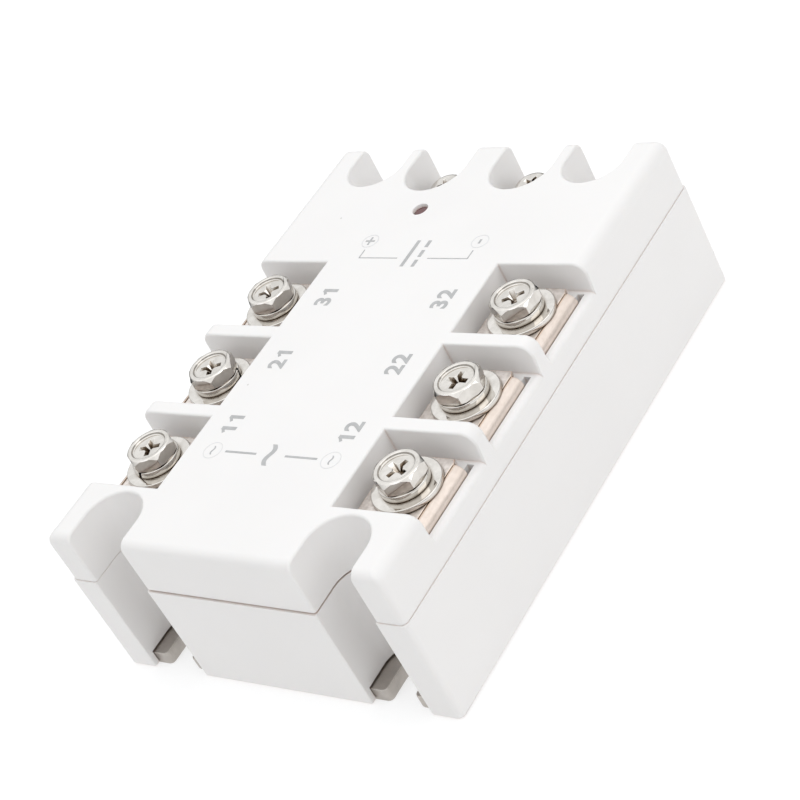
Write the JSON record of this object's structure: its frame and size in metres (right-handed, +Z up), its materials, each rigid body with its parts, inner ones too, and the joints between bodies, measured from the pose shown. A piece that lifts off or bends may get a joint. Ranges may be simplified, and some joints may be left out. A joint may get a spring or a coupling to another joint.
{
  "type": "solid state relay",
  "caption": "Panel-type three-phase solid state relay: white two-part housing on a metal base plate with open mounting slots, screw terminals in side pockets.",
  "frame": {"origin": "middle of the heat-sink face, on the underside of the base plate", "axes": "+X across the package, +Y along it towards the input terminals, +Z up, out of the heat sink"},
  "size_m": [0.074, 0.105, 0.0338],
  "materials": {
    "housing_white": "satin moulded",
    "base_metal": "dull plated",
    "nickel": "nickel plated",
    "tinned_copper": "tin over copper, worn",
    "copper_bare": "bare copper",
    "board_green": "solder mask",
    "ceramic": "fired alumina",
    "silicon": "polished",
    "chip_black": "moulded",
    "resistor_tan": "lacquered",
    "capacitor_blue": "sleeved",
    "led_red": "clear tinted",
    "potting_gel": "soft silicone"
  },
  "bodies": {
    "root": {"base_plate": "base_metal", "lower_housing": "housing_white", "upper_housing": "housing_white", "housing_screws": "nickel", "power_terminal_1": "tinned_copper", "power_terminal_2": "tinned_copper", "power_terminal_3": "tinned_copper", "power_terminal_4": "tinned_copper", "power_terminal_5": "tinned_copper", "power_terminal_6": "tinned_copper", "power_nuts": "nickel", "input_terminal_1": "tinned_copper", "input_terminal_2": "tinned_copper", "input_nuts": "nickel", "control_board": "board_green", "led_indicator": "led_red", "optocouplers": "chip_black", "board_resistors": "resistor_tan", "board_capacitors": "capacitor_blue", "board_transistors": "chip_black", "ceramic_substrates": "ceramic", "copper_tracks": "copper_bare", "thyristor_chips": "silicon", "chip_clips": "copper_bare", "gate_pins": "nickel", "potting": "potting_gel"},
    "load_clamp_1": {"power_flat_washer_1": "nickel", "power_spring_washer_1": "nickel"},
    "load_screw_1": {"power_screw_1": "nickel"},
    "load_clamp_2": {"power_flat_washer_2": "nickel", "power_spring_washer_2": "nickel"},
    "load_screw_2": {"power_screw_2": "nickel"},
    "load_clamp_3": {"power_flat_washer_3": "nickel", "power_spring_washer_3": "nickel"},
    "load_screw_3": {"power_screw_3": "nickel"},
    "load_clamp_4": {"power_flat_washer_4": "nickel", "power_spring_washer_4": "nickel"},
    "load_screw_4": {"power_screw_4": "nickel"},
    "load_clamp_5": {"power_flat_washer_5": "nickel", "power_spring_washer_5": "nickel"},
    "load_screw_5": {"power_screw_5": "nickel"},
    "load_clamp_6": {"power_flat_washer_6": "nickel", "power_spring_washer_6": "nickel"},
    "load_screw_6": {"power_screw_6": "nickel"},
    "input_clamp_1": {"input_clamp_1": "nickel"},
    "input_screw_1": {"input_screw_1": "nickel"},
    "input_clamp_2": {"input_clamp_2": "nickel"},
    "input_screw_2": {"input_screw_2": "nickel"}
  },
  "joints": [
    {"name": "load_lift_1", "type": "slide", "parent": "root", "child": "load_clamp_1", "axis": [0, 0, 1], "range_m": [0, 0.0044]},
    {"name": "load_turn_1", "type": "hinge", "parent": "load_clamp_1", "child": "load_screw_1", "pos_m": [-0.0275, -0.0303, 0.0312], "axis": [0, 0, 1], "range_deg": [0, 1980]},
    {"name": "load_lift_2", "type": "slide", "parent": "root", "child": "load_clamp_2", "axis": [0, 0, 1], "range_m": [0, 0.0044]},
    {"name": "load_turn_2", "type": "hinge", "parent": "load_clamp_2", "child": "load_screw_2", "pos_m": [0.0275, -0.0303, 0.0312], "axis": [0, 0, 1], "range_deg": [0, 1980]},
    {"name": "load_lift_3", "type": "slide", "parent": "root", "child": "load_clamp_3", "axis": [0, 0, 1], "range_m": [0, 0.0044]},
    {"name": "load_turn_3", "type": "hinge", "parent": "load_clamp_3", "child": "load_screw_3", "pos_m": [-0.0275, -0.0101, 0.0312], "axis": [0, 0, 1], "range_deg": [0, 1980]},
    {"name": "load_lift_4", "type": "slide", "parent": "root", "child": "load_clamp_4", "axis": [0, 0, 1], "range_m": [0, 0.0044]},
    {"name": "load_turn_4", "type": "hinge", "parent": "load_clamp_4", "child": "load_screw_4", "pos_m": [0.0275, -0.0101, 0.0312], "axis": [0, 0, 1], "range_deg": [0, 1980]},
    {"name": "load_lift_5", "type": "slide", "parent": "root", "child": "load_clamp_5", "axis": [0, 0, 1], "range_m": [0, 0.0044]},
    {"name": "load_turn_5", "type": "hinge", "parent": "load_clamp_5", "child": "load_screw_5", "pos_m": [-0.0275, 0.0101, 0.0312], "axis": [0, 0, 1], "range_deg": [0, 1980]},
    {"name": "load_lift_6", "type": "slide", "parent": "root", "child": "load_clamp_6", "axis": [0, 0, 1], "range_m": [0, 0.0044]},
    {"name": "load_turn_6", "type": "hinge", "parent": "load_clamp_6", "child": "load_screw_6", "pos_m": [0.0275, 0.0101, 0.0312], "axis": [0, 0, 1], "range_deg": [0, 1980]},
    {"name": "input_lift_1", "type": "slide", "parent": "root", "child": "input_clamp_1", "axis": [0, 0, 1], "range_m": [0, 0.00385]},
    {"name": "input_turn_1", "type": "hinge", "parent": "input_clamp_1", "child": "input_screw_1", "pos_m": [-0.0098, 0.0455, 0.0266], "axis": [0, 0, 1], "range_deg": [0, 1980]},
    {"name": "input_lift_2", "type": "slide", "parent": "root", "child": "input_clamp_2", "axis": [0, 0, 1], "range_m": [0, 0.00385]},
    {"name": "input_turn_2", "type": "hinge", "parent": "input_clamp_2", "child": "input_screw_2", "pos_m": [0.0098, 0.0455, 0.0266], "axis": [0, 0, 1], "range_deg": [0, 1980]}
  ],
  "couplings": [
    {"joint": "load_turn_1", "follows": "load_lift_1", "rad_per_m": 7854},
    {"joint": "load_turn_2", "follows": "load_lift_2", "rad_per_m": 7854},
    {"joint": "load_turn_3", "follows": "load_lift_3", "rad_per_m": 7854},
    {"joint": "load_turn_4", "follows": "load_lift_4", "rad_per_m": 7854},
    {"joint": "load_turn_5", "follows": "load_lift_5", "rad_per_m": 7854},
    {"joint": "load_turn_6", "follows": "load_lift_6", "rad_per_m": 7854},
    {"joint": "input_turn_1", "follows": "input_lift_1", "rad_per_m": 8976},
    {"joint": "input_turn_2", "follows": "input_lift_2", "rad_per_m": 8976}
  ]
}
